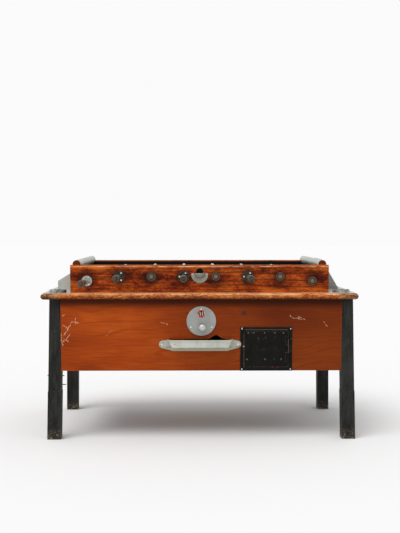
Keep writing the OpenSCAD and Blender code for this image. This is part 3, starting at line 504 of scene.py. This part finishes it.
def fieldFinish():
    # green sheet with cream lines, set out from the middle of the field
    mat, tree, bsdf = newMaterial("fieldSheet", 0.6)
    fine = noise(tree, placed(tree), 220, 4, 0.6)
    cloud = noise(tree, placed(tree), 7, 5, 0.6)
    green = mixed(tree, mask(tree, cloud, 0.35, 0.65), (0.022, 0.070, 0.036), (0.040, 0.105, 0.052))
    x, y = axis(tree, "X"), axis(tree, "Y")
    ax, ay = math2(tree, "ABSOLUTE", x), math2(tree, "ABSOLUTE", y)
    squares = math2(tree, "ADD", math2(tree, "MULTIPLY", x, x), math2(tree, "MULTIPLY", y, y))
    radius = math2(tree, "SQRT", squares)
    ring = mask(tree, math2(tree, "ABSOLUTE", math2(tree, "SUBTRACT", radius, 0.095)), 0.0036, 0.003)
    middle = mask(tree, ax, 0.0036, 0.003)
    boxSide = math2(tree, "MULTIPLY", mask(tree, math2(tree, "ABSOLUTE", math2(tree, "SUBTRACT", ay, 0.19)),
                                           0.0036, 0.003), mask(tree, ax, 0.397, 0.4))
    boxFront = math2(tree, "MULTIPLY", mask(tree, math2(tree, "ABSOLUTE", math2(tree, "SUBTRACT", ax, 0.40)),
                                            0.0036, 0.003), mask(tree, ay, 0.193, 0.19))
    lines = ring
    for one in (middle, boxSide, boxFront):
        lines = math2(tree, "MAXIMUM", lines, one)
    lines = math2(tree, "MULTIPLY", lines, mask(tree, fine, 0.36, 0.46))
    tree.links.new(mixed(tree, lines, green, (0.56, 0.53, 0.42)), bsdf.inputs["Base Color"])
    tree.links.new(math2(tree, "ADD", math2(tree, "MULTIPLY", cloud, 0.3), 0.4), bsdf.inputs["Roughness"])
    bumped(tree, bsdf, fine, 0.15, 0.0004)
    return mat


print("making the finishes")
doorLook = {"rivet": (0.115, 0.108, 0.094), "rubbed": (0.17, 0.115, 0.075), "pale": (0.50, 0.44, 0.38),
            "red": (0.34, 0.020, 0.016), "rivetsFrom": -0.4172, "hingeFrom": 0.397, "share": 0.60,
            "seams": [(0.208, 0.5178, 0.413, 0.5178, 0.0016), (0.206, 0.498, 0.206, 0.338, 0.0016),
                      (0.413, 0.476, 0.413, 0.407, 0.0014)],
            "chips": [(0.200, 0.442, 0.210, 0.436, 0.0042), (0.193, 0.529, 0.200, 0.524, 0.0030)],
            "redMarks": [(0.335, 0.341, 0.345, 0.342, 0.0028), (0.357, 0.341, 0.373, 0.341, 0.0014),
                         (0.207, 0.463, 0.208, 0.461, 0.0030), (0.192, 0.449, 0.195, 0.444, 0.0032)]}


def doorFinish():
    # the door's black paint, with flat rubbed rivets, rubbed seams and old red marks
    mat = plainFinish("doorPaint", (0.0040, 0.0038, 0.0032), (0.0085, 0.0078, 0.0065), (0.14, 0.13, 0.11),
                      150, 0.6, 0.0, (0.12, 0.085, 0.055), 0.004, bumpDepth=0.0004, specular=0.10,
                      specks=(0.68, 0.74), rubShare=0.8)
    tree = mat.node_tree
    bsdf = next(node for node in tree.nodes if node.type == "BSDF_PRINCIPLED")
    colour = bsdf.inputs["Base Color"].links[0].from_socket
    wobble = math2(tree, "ADD", math2(tree, "MULTIPLY", noise(tree, placed(tree), 70.0, 3, 0.6), 0.12), 0.44)
    for key, tone in (("seams", "rubbed"), ("chips", "pale"), ("redMarks", "red")):
        for x0, z0, x1, z1, width in doorLook[key]:
            line = math2(tree, "MULTIPLY", stroke(tree, x0, z0, x1, z1, width, wobble), doorLook["share"])
            colour = mixed(tree, line, colour, doorLook[tone])
    rivets = mask(tree, axis(tree, "Y"), doorLook["rivetsFrom"], doorLook["rivetsFrom"] - 0.0004)
    rivets = math2(tree, "MULTIPLY", rivets, mask(tree, axis(tree, "X"), doorLook["hingeFrom"],
                                                  doorLook["hingeFrom"] - 0.001))
    mottle = mask(tree, noise(tree, placed(tree), 420.0, 3, 0.6), 0.30, 0.62)
    colour = mixed(tree, math2(tree, "MULTIPLY", rivets, mottle), colour, doorLook["rivet"])
    tree.links.new(colour, bsdf.inputs["Base Color"])
    return mat


trayLook = {"dirtAndShade": (0.085, 0.078, 0.055), "lip": (0.40, 0.385, 0.27), "inside": (0.006, 0.006, 0.005),
            "seamAt": 0.4365, "seamHalf": 0.0030, "lipFrom": 0.432, "endsFrom": 0.128, "wallFrom": -0.4115}


def trayFinish():
    # cast alloy, with painted shade in the crease along its seam, dirt and painted shade at its curved ends,
    # and black painted shade where it passes into the cabinet
    mat = plainFinish("castTray", (0.40, 0.405, 0.345), (0.56, 0.57, 0.50), (0.10, 0.09, 0.065), 200,
                      0.46, 0.35, (0.70, 0.72, 0.65), 0.003, bumpDepth=0.0009, specks=(0.68, 0.76))
    tree = mat.node_tree
    bsdf = next(node for node in tree.nodes if node.type == "BSDF_PRINCIPLED")
    colour = bsdf.inputs["Base Color"].links[0].from_socket
    z = axis(tree, "Z")
    cloud = noise(tree, placed(tree), 26.0, 5, 0.65)
    lip = mask(tree, z, trayLook["lipFrom"] + 0.002, trayLook["lipFrom"])
    colour = mixed(tree, math2(tree, "MULTIPLY", lip, 0.8), colour, trayLook["lip"])
    away = math2(tree, "ABSOLUTE", math2(tree, "SUBTRACT", z, trayLook["seamAt"]))
    creaseShade = math2(tree, "MULTIPLY", mask(tree, away, trayLook["seamHalf"], trayLook["seamHalf"] * 0.3),
                 mask(tree, cloud, 0.25, 0.5))
    ends = math2(tree, "MULTIPLY", mask(tree, math2(tree, "ABSOLUTE", axis(tree, "X")), trayLook["endsFrom"],
                                        trayLook["endsFrom"] + 0.045), mask(tree, cloud, 0.36, 0.62))
    colour = mixed(tree, math2(tree, "MULTIPLY", creaseShade, 0.75), colour, trayLook["dirtAndShade"])
    colour = mixed(tree, math2(tree, "MULTIPLY", ends, 0.5), colour, trayLook["dirtAndShade"])
    # black painted shade where the tray passes into the cabinet
    inside = mask(tree, axis(tree, "Y"), trayLook["wallFrom"], trayLook["wallFrom"] + 0.002)
    colour = mixed(tree, inside, colour, trayLook["inside"])
    tree.links.new(colour, bsdf.inputs["Base Color"])
    return mat


finish = {
    "rail": railWood(),
    "door": doorFinish(),
    "cast": trayFinish(),
    "apron": apronWood(),
    "slab": slabWood(),
    "field": fieldFinish(),
    "plank": woodFinish("dirtyShadedPlank", (0.30, 0.17, 0.08), (0.55, 0.38, 0.21), (6, 90, 90), 0.6,
                        (0.62, 0.47, 0.30), shadedFrom=-0.10),
    "grip": woodFinish("gripWood", (0.035, 0.018, 0.010), (0.15, 0.085, 0.055), (60, 6, 60), 0.42,
                       (0.34, 0.27, 0.18), rubRadius=0.005),
    "black": plainFinish("wornBlackPaint", (0.0040, 0.0038, 0.0032), (0.0085, 0.0078, 0.0065),
                         (0.10, 0.095, 0.08), 150, 0.6, 0.0, (0.075, 0.045, 0.025), 0.004,
                         bumpDepth=0.0004, specular=0.10, specks=(0.71, 0.76), rubShare=0.6),
    "legBlack": legFinish(),
    "knob": plainFinish("knobAlloy", (0.50, 0.51, 0.47), (0.60, 0.61, 0.57), (0.30, 0.30, 0.27), 400,
                        0.30, 0.35, (0.72, 0.72, 0.68), 0.002, bumpDepth=0.0002, specks=(0.74, 0.80)),
    "cup": plainFinish("cupAlloy", (0.20, 0.20, 0.17), (0.34, 0.34, 0.29), (0.07, 0.06, 0.05), 240,
                       0.46, 0.35, (0.60, 0.61, 0.54), 0.004, bumpDepth=0.0007, specks=(0.68, 0.74)),
    "satin": plainFinish("satinPlate", (0.29, 0.295, 0.275), (0.37, 0.375, 0.35), (0.16, 0.16, 0.14), 380,
                         0.42, 0.45, (0.62, 0.64, 0.63), 0.0015, bumpDepth=0.0002, specks=(0.74, 0.80)),
    "hood": hoodFinish(),
    "sheet": plainFinish("paleSheet", (0.48, 0.49, 0.44), (0.60, 0.61, 0.56), (0.22, 0.20, 0.16), 150,
                         0.40, 0.40, (0.70, 0.71, 0.66), 0.002, bumpDepth=0.0004, specks=(0.73, 0.80)),
    "bush": bushFinish(),
    "steel": steelFinish(),
    "screw": plainFinish("screwSteel", (0.62, 0.62, 0.60), (0.74, 0.74, 0.72), (0.20, 0.18, 0.14), 900,
                         0.26, 0.9, (0.85, 0.85, 0.83), 0.0006, bumpDepth=0.0001),
    "redPaint": plainFinish("redEnamel", (0.52, 0.010, 0.008), (0.66, 0.020, 0.012), (0.62, 0.60, 0.50), 260,
                            0.35, 0.0, (0.66, 0.62, 0.50), 0.0016, bumpDepth=0.0003, specular=0.2,
                            specks=(0.58, 0.60)),
    # near-black sheet standing for the shade inside the cabinet
    "insideShade": plainFinish("insideShadeSheet", (0.0035, 0.0032, 0.003), (0.010, 0.009, 0.008),
                        (0.03, 0.028, 0.024), 200, 0.7, 0.0, (0.03, 0.03, 0.028), 0.002, specular=0.1),
    "tin": plainFinish("ashtrayTin", (0.06, 0.058, 0.048), (0.46, 0.465, 0.42), (0.02, 0.018, 0.014), 90,
                       0.4, 0.5, (0.66, 0.67, 0.62), 0.005, bumpDepth=0.0006, specks=(0.56, 0.62)),
    "boxPaint": plainFinish("boxPaint", (0.16, 0.18, 0.13), (0.22, 0.24, 0.18), (0.35, 0.33, 0.28), 260,
                            0.55, 0.1, (0.42, 0.42, 0.38), 0.002),
    "teamRed": plainFinish("teamRed", (0.36, 0.018, 0.012), (0.46, 0.032, 0.020), (0.50, 0.50, 0.46), 600,
                           0.34, 0.0, (0.52, 0.52, 0.48), 0.0015, bumpDepth=0.0002, coat=0.3),
    "teamBlue": plainFinish("teamBlue", (0.018, 0.050, 0.20), (0.030, 0.080, 0.28), (0.50, 0.50, 0.46), 600,
                            0.34, 0.0, (0.52, 0.52, 0.48), 0.0015, bumpDepth=0.0002, coat=0.3),
    "bareCasting": plainFinish("bareCasting", (0.52, 0.53, 0.49), (0.64, 0.65, 0.60), (0.24, 0.23, 0.19), 500,
                               0.38, 0.6, (0.74, 0.75, 0.70), 0.0015, bumpDepth=0.0002),
}

# which finish each kept CAD node takes
nodeFinish = {
    "table_slab": "slab", "playfield": "field",
    "front_rail": "rail", "rear_rail": "rail", "end_walls": "rail",
    "goal_hoods": "hood", "end_sheets": "sheet", "front_apron": "apron", "rear_apron": "apron",
    "end_aprons": "apron", "ball_ramp": "plank", "front_legs": "legBlack", "rear_legs": "legBlack",
    "coin_plate": "satin", "coin_slot_ring": "redPaint", "coin_chute": "insideShade", "coin_knob": "knob",
    "ball_gate": "insideShade", "ball_tray": "cast", "ball_cup": "cup", "door_frame": "door", "cash_door": "door",
    "door_lock": "black", "apron_lock": "bush", "rod_bushes": "bush", "screws": "screw", "ashtrays": "tin",
    "cash_box": "boxPaint",
}
for name, key in nodeFinish.items():
    materials = nodes[name].data.materials
    materials.clear()
    materials.append(finish[key])
for number in range(1, 9):
    for name, key in (("inner_rod", "steel"), ("tube", "steel"), ("handle", "grip"), ("figures", "teamRed")):
        materials = nodes[f"{name}_{number}"].data.materials
        materials.clear()
        materials.append(finish[key])


# small helpers for meshes

def meshPiece(name, build, materials, body, smooth=True):
    # build(bm) fills a fresh bmesh in frame coordinates
    mesh = bpy.data.meshes.new(name)
    bm = bmesh.new()
    build(bm)
    bmesh.ops.recalc_face_normals(bm, faces=bm.faces)
    bm.to_mesh(mesh)
    bm.free()
    for material in materials:
        mesh.materials.append(material)
    mesh.polygons.foreach_set("use_smooth", [smooth] * len(mesh.polygons))
    piece = bpy.data.objects.new(name, mesh)
    bpy.context.scene.collection.objects.link(piece)
    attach(piece, body)
    return piece


def loft(bm, rings, slotOf=None, close=True):
    # joins rings of equal length; slotOf(index) gives the material of the band after ring index
    rows = [[bm.verts.new(point) for point in ring] for ring in rings]
    count = len(rows[0])
    for index in range(len(rows) - 1):
        for step in range(count):
            after = (step + 1) % count
            face = bm.faces.new((rows[index][step], rows[index][after], rows[index + 1][after],
                                 rows[index + 1][step]))
            face.material_index = slotOf(index) if slotOf else 0
    if close:
        for row, index in ((rows[0], 0), (rows[-1], len(rows) - 2)):
            face = bm.faces.new(row)
            face.material_index = slotOf(index) if slotOf else 0
    return rows


def ringPoints(centre, across, up, halfA, halfB, count=24, power=2.0):
    # superellipse ring round centre; power 2 is an ellipse, 4 nearly a box
    points = []
    for step in range(count):
        angle = 2 * math.pi * step / count
        c, s = math.cos(angle), math.sin(angle)
        a = math.copysign(abs(c) ** (2 / power), c) * halfA
        b = math.copysign(abs(s) ** (2 / power), s) * halfB
        points.append(Vector(centre) + Vector(across) * a + Vector(up) * b)
    return points


def turned(bm, start, direction, profile, count=40, hollow=False):
    # turned shape: profile is (distance along, radius); hollow joins the last ring to the first
    along = Vector(direction).normalized()
    side = along.orthogonal().normalized()
    other = along.cross(side)
    rings = [ringPoints(Vector(start) + along * d, side, other, r, r, count) for d, r in profile]
    if hollow:
        rows = loft(bm, rings, close=False)
        for step in range(count):
            after = (step + 1) % count
            bm.faces.new((rows[-1][step], rows[-1][after], rows[0][after], rows[0][step]))
    else:
        loft(bm, rings)


# players, handles: one set for each rod
playerLook = {
    "men": [1, 2, 3, 5, 5, 3, 2, 1], "width": 0.024,
    # height over the rod (or share of the leg when below it), half depth, half width, forward, squareness
    "legs": [(-1.0, 0.0095, 0.0085, 0.0030, 4.5), (-0.99, 0.0102, 0.0092, 0.0030, 4.5),
             (-0.90, 0.0100, 0.0090, 0.0030, 4.0), (-0.85, 0.0068, 0.0080, 0.0005, 3.0),
             (-0.72, 0.0052, 0.0078, 0.0, 2.6), (-0.52, 0.0060, 0.0088, -0.0008, 2.4),
             (-0.34, 0.0072, 0.0100, -0.0004, 2.4)],
    "trunk": [(-0.0150, 0.0086, 0.0112, 0.0, 2.5), (-0.0120, 0.0096, 0.0116, 0.0, 2.6),
              (-0.0040, 0.0110, 0.0118, 0.0, 2.8), (0.0060, 0.0112, 0.0118, 0.0, 2.8),
              (0.0140, 0.0098, 0.0120, 0.0, 2.8), (0.0190, 0.0078, 0.0115, 0.0, 2.6),
              (0.0225, 0.0056, 0.0080, 0.0, 2.3), (0.0245, 0.0040, 0.0045, 0.0, 2.0),
              (0.0270, 0.0038, 0.0042, 0.0004, 2.0), (0.0300, 0.0066, 0.0060, 0.0012, 2.0),
              (0.0345, 0.0084, 0.0076, 0.0010, 2.0), (0.0370, 0.0076, 0.0070, 0.0002, 2.0),
              (0.0388, 0.0056, 0.0052, 0.0, 2.0), (0.0398, 0.0028, 0.0026, 0.0, 2.0)],
}


def player(bm, x, y, z, leg, facing):
    sections = [(share * leg, a, b, f, p) for share, a, b, f, p in playerLook["legs"]] + playerLook["trunk"]
    rings = [ringPoints((x + facing * f, y, z + up), (facing, 0, 0), (0, 1, 0), a, b, 24, p)
             for up, a, b, f, p in sections]
    shirtFrom, shirtTo = len(playerLook["legs"]) - 1, len(playerLook["legs"]) + 6

    def painted(index):
        return 0 if shirtFrom <= index < shirtTo else 1

    loft(bm, rings, painted)
    # arms hang close to the trunk
    for s in (-1, 1):
        arm = [(0.0185, 0.0030), (0.0150, 0.0040), (0.0060, 0.0036), (-0.0040, 0.0030), (-0.0110, 0.0026),
               (-0.0135, 0.0016)]
        loft(bm, [ringPoints((x + facing * 0.001, y + s * 0.0112, z + up), (1, 0, 0), (0, 1, 0),
                             r * 1.25, r, 12)
                  for up, r in arm], lambda index: 0 if index < 3 else 1)


handleLook = {"profile": [(0.000, 0.0085), (0.000, 0.0125), (0.0018, 0.0144), (0.006, 0.0160),
                          (0.014, 0.0168), (0.030, 0.0170), (0.050, 0.0165), (0.068, 0.0152),
                          (0.083, 0.0140), (0.096, 0.0136),
                          (0.106, 0.0137), (0.111, 0.0130), (0.114, 0.0114), (0.115, 0.0085)]}


def makeRods():
    for number in range(1, 9):
        low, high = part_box(f"tube_{number}")
        x, z = (low.x + high.x) / 2, (low.z + high.z) / 2
        gripLow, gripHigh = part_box(f"handle_{number}")
        front = gripLow.y + gripHigh.y < 0
        menLow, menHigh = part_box(f"figures_{number}")
        men = playerLook["men"][number - 1]
        pitch = (menHigh.y - menLow.y - playerLook["width"]) / max(men - 1, 1)
        leg = z - menLow.z

        def team(bm):
            for index in range(men):
                player(bm, x, (index - (men - 1) / 2) * pitch, z, leg, 1 if front else -1)

        paint = finish["teamRed" if front else "teamBlue"]
        piece = meshPiece(f"players_{number}", team, [paint, finish["bareCasting"]], f"rod_{number}")
        piece.modifiers.new("round", "SUBSURF").levels = 1
        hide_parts(f"figures_{number}")
        way = 1 if front else -1
        start = (x, gripLow.y if front else gripHigh.y, z)
        grip = meshPiece(f"grip_{number}",
                         lambda bm: turned(bm, start, (0, way, 0), handleLook["profile"], 40, hollow=True),
                         [finish["grip"]], f"rod_{number}")
        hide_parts(f"handle_{number}")
    print("rods dressed")


makeRods()


nailLook = {"radius": 0.0019, "head": 0.0032,
            # through the left front leg: height, side it stands out on, how far
            "legNails": [(0.298, -1, 0.008), (0.298, 1, 0.011), (0.256, 1, 0.020)]}


def makeLegNails():
    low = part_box("front_legs")[0]
    legWidth = 0.060

    def nails(bm):
        for z, side, out in nailLook["legNails"]:
            outer = low.x + 0.0015 + 0.026 * z
            x = outer if side < 0 else outer + legWidth
            r, head = nailLook["radius"], nailLook["head"]
            profile = [(-0.004, r), (out - 0.0016, r * 0.96), (out - 0.0014, head),
                       (out - 0.0003, head * 0.95), (out, head * 0.6)]
            turned(bm, (x, low.y + 0.034 + 0.026 * z, z), (side, 0, 0), profile, 12)

    meshPiece("legNails", nails, [finish["legBlack"]], "cabinet")
    print("leg nails in")


makeLegNails()


slotLook = {"half": 0.0042, "tall": 0.0105, "thick": 0.0022}


def makeSlotLips():
    low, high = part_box("coin_slot_ring")
    x, z, y = (low.x + high.x) / 2, (low.z + high.z) / 2, low.y + 0.0045

    def lips(bm):
        # two bent metal lips that guide the coin
        h, t, w = slotLook["tall"], slotLook["thick"], slotLook["half"]
        for side in (-1, 1):
            rings = [ringPoints((x + side * (w + bend), y - 0.0010, z + up), (1, 0, 0), (0, 1, 0),
                                t * thin, t * 0.5, 12, 3.0)
                     for up, bend, thin in ((-h, 0.0010, 0.5), (-h * 0.8, 0.0003, 0.9), (-h * 0.3, 0.0, 1.0),
                                            (h * 0.2, 0.0002, 0.9), (h * 0.7, 0.0008, 0.8), (h, 0.0016, 0.4))]
            loft(bm, rings)

    meshPiece("slotLips", lips, [finish["knob"]], "cabinet")
    print("slot lips in")


makeSlotLips()


# studio: pale floor, soft light, one camera
studio = {"cameraAt": (-0.060, -4.985, 0.980), "cameraTilt": 83.31, "cameraTurn": -0.765, "lens": 66.66,
          "shiftY": 0.148,
          "floorHalf": 60.0, "floorTone": 0.80, "ambient": 0.72, "backdrop": 0.962, "sun": 1.76,
          "sunFrom": (-0.34, -0.52, 1.1), "sunSpread": 42}


def makeStudio():
    scene = bpy.context.scene
    scene.view_settings.view_transform = "Standard"
    bm = bmesh.new()
    half = studio["floorHalf"]
    corners = [bm.verts.new((sx * half, sy * half, 0)) for sx, sy in ((-1, -1), (1, -1), (1, 1), (-1, 1))]
    bm.faces.new(corners)
    mesh = bpy.data.meshes.new("studioFloor")
    bm.to_mesh(mesh)
    bm.free()
    mat, tree, bsdf = newMaterial("floorPaint", 0.9)
    tone = studio["floorTone"]
    cloud = noise(tree, placed(tree), 0.8, 2, 0.5)
    tree.links.new(mixed(tree, cloud, (tone, tone, tone), (tone * 1.01, tone * 1.01, tone * 1.01)),
                   bsdf.inputs["Base Color"])
    bsdf.inputs["Specular IOR Level"].default_value = 0.0
    mesh.materials.append(mat)
    floor = bpy.data.objects.new("studioFloor", mesh)
    scene.collection.objects.link(floor)

    world = bpy.data.worlds.new("studioSky")
    scene.world = world
    world.use_nodes = True
    skyTree = world.node_tree
    sky = skyTree.nodes["Background"]
    sky.inputs["Color"].default_value = (1, 1, 1, 1)
    ray = skyTree.nodes.new("ShaderNodeLightPath")
    level = skyTree.nodes.new("ShaderNodeMapRange")
    level.inputs["To Min"].default_value = studio["ambient"]
    level.inputs["To Max"].default_value = studio["backdrop"]
    skyTree.links.new(ray.outputs["Is Camera Ray"], level.inputs["Value"])
    skyTree.links.new(level.outputs["Result"], sky.inputs["Strength"])

    light = bpy.data.lights.new("softSun", "SUN")
    light.energy = studio["sun"]
    light.angle = math.radians(studio["sunSpread"])
    lamp = bpy.data.objects.new("softSun", light)
    lamp.rotation_euler = Vector(studio["sunFrom"]).to_track_quat("Z", "Y").to_euler()
    scene.collection.objects.link(lamp)

    data = bpy.data.cameras.new("mainCamera")
    data.lens = studio["lens"]
    data.sensor_width = 36
    data.shift_y = studio["shiftY"]
    camera = bpy.data.objects.new("mainCamera", data)
    camera.location = studio["cameraAt"]
    camera.rotation_euler = (math.radians(studio["cameraTilt"]), 0, math.radians(studio["cameraTurn"]))
    scene.collection.objects.link(camera)
    scene.camera = camera
    print("studio ready")


makeStudio()
